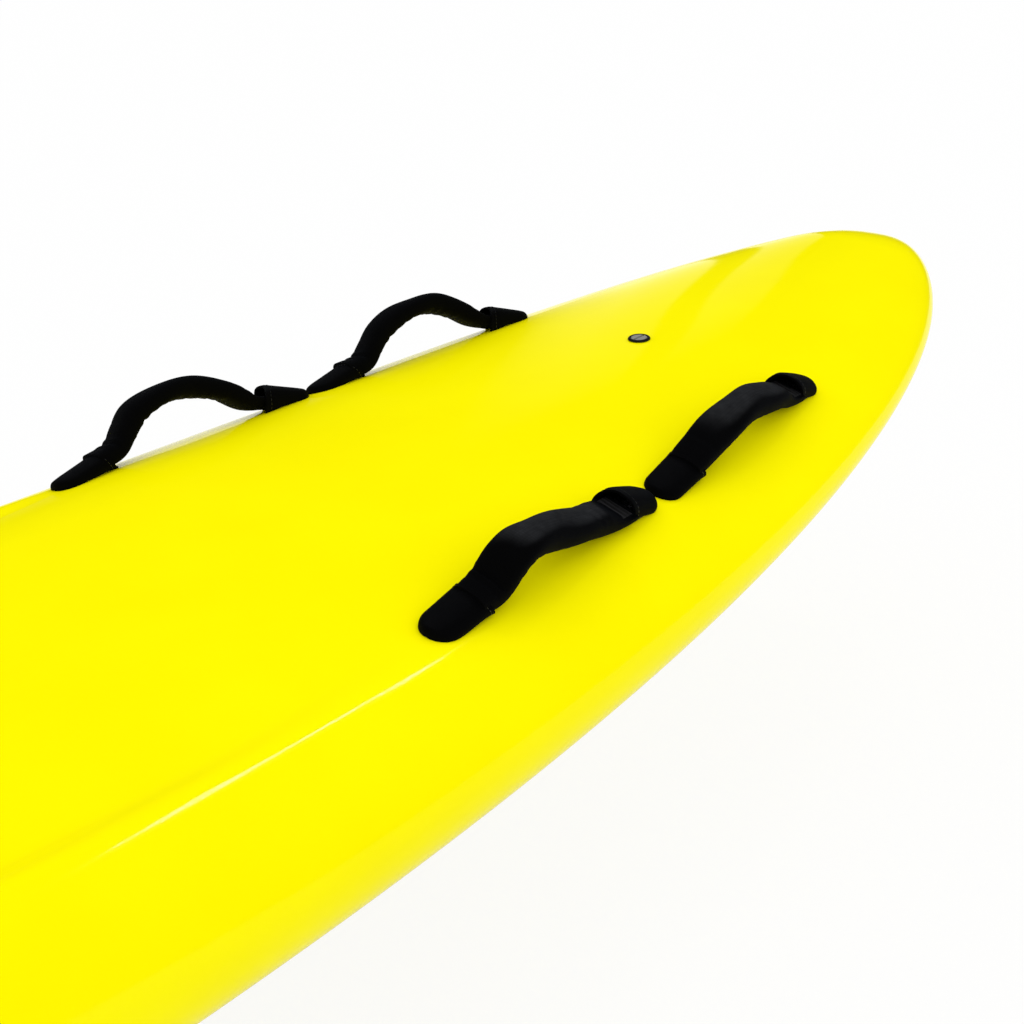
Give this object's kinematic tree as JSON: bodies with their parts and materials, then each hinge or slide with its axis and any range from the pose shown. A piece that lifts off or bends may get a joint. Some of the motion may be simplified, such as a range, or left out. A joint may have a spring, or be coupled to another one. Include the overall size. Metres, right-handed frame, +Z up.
{
  "type": "rescue board",
  "caption": "Long rescue paddle board with a dished deck, padded loop handles along both sides, a vent plug in the nose and a sliding fin under the tail.",
  "frame": {"origin": "lowest flat of the hull bottom, on the centreline at half the board's length", "axes": "+X to the nose, +Y to port, +Z up through the deck"},
  "size_m": [3.2, 0.58, 0.3598],
  "materials": {
    "gelcoat": "polished yellow gelcoat",
    "foam": "cut foam",
    "pine": "planed",
    "plywood": "sawn",
    "neoprene": "jersey-faced neoprene, dull",
    "webbing": "woven nylon",
    "stainless": "satin",
    "black_plastic": "moulded",
    "rubber": "dull",
    "pad_foam": "embossed foam",
    "fin_plastic": "moulded, satin",
    "brass": "drawn"
  },
  "bodies": {
    "board": {"deck_skin": "gelcoat", "bottom_skin": "gelcoat", "port_core": "foam", "starboard_core": "foam", "stringer": "pine", "port_fore_backing": "plywood", "port_tail_backing": "plywood", "starboard_fore_backing": "plywood", "starboard_tail_backing": "plywood", "port_pad": "pad_foam", "starboard_pad": "pad_foam", "vent_body": "black_plastic", "fin_box": "black_plastic", "port_bow_strap": "webbing", "port_bow_sleeve": "neoprene", "port_bow_hood_aft": "neoprene", "port_bow_screw_aft": "stainless", "port_bow_hood_fore": "neoprene", "port_bow_screw_fore": "stainless", "port_fore_strap": "webbing", "port_fore_sleeve": "neoprene", "port_fore_hood_aft": "neoprene", "port_fore_screw_aft": "stainless", "port_fore_hood_fore": "neoprene", "port_fore_screw_fore": "stainless", "port_tail_strap": "webbing", "port_tail_sleeve": "neoprene", "port_tail_hood_aft": "neoprene", "port_tail_screw_aft": "stainless", "port_tail_hood_fore": "neoprene", "port_tail_screw_fore": "stainless", "starboard_bow_strap": "webbing", "starboard_bow_sleeve": "neoprene", "starboard_bow_hood_aft": "neoprene", "starboard_bow_screw_aft": "stainless", "starboard_bow_hood_fore": "neoprene", "starboard_bow_screw_fore": "stainless", "starboard_fore_strap": "webbing", "starboard_fore_sleeve": "neoprene", "starboard_fore_hood_aft": "neoprene", "starboard_fore_screw_aft": "stainless", "starboard_fore_hood_fore": "neoprene", "starboard_fore_screw_fore": "stainless", "starboard_tail_strap": "webbing", "starboard_tail_sleeve": "neoprene", "starboard_tail_hood_aft": "neoprene", "starboard_tail_screw_aft": "stainless", "starboard_tail_hood_fore": "neoprene", "starboard_tail_screw_fore": "stainless"},
    "vent_ring": {"vent_ring": "rubber"},
    "vent_screw": {"vent_screw": "stainless"},
    "fin": {"fin": "fin_plastic", "fin_pin": "brass", "fin_plate": "brass", "fin_screw": "stainless"}
  },
  "joints": [
    {"name": "vent_rise", "type": "slide", "parent": "board", "child": "vent_ring", "axis": [-0.0627, 0, 0.998], "range_m": [0, 0.005]},
    {"name": "vent_turn", "type": "hinge", "parent": "vent_ring", "child": "vent_screw", "pos_m": [1.176, 0, 0.21423], "axis": [-0.0627, 0, 0.998], "range_deg": [0, 1440]},
    {"name": "fin_slide", "type": "slide", "parent": "board", "child": "fin", "axis": [0.998, 0, -0.0626], "range_m": [-0.036, 0.016]}
  ],
  "couplings": [
    {"joint": "vent_turn", "follows": "vent_rise", "rad_per_m": 5026.5}
  ]
}
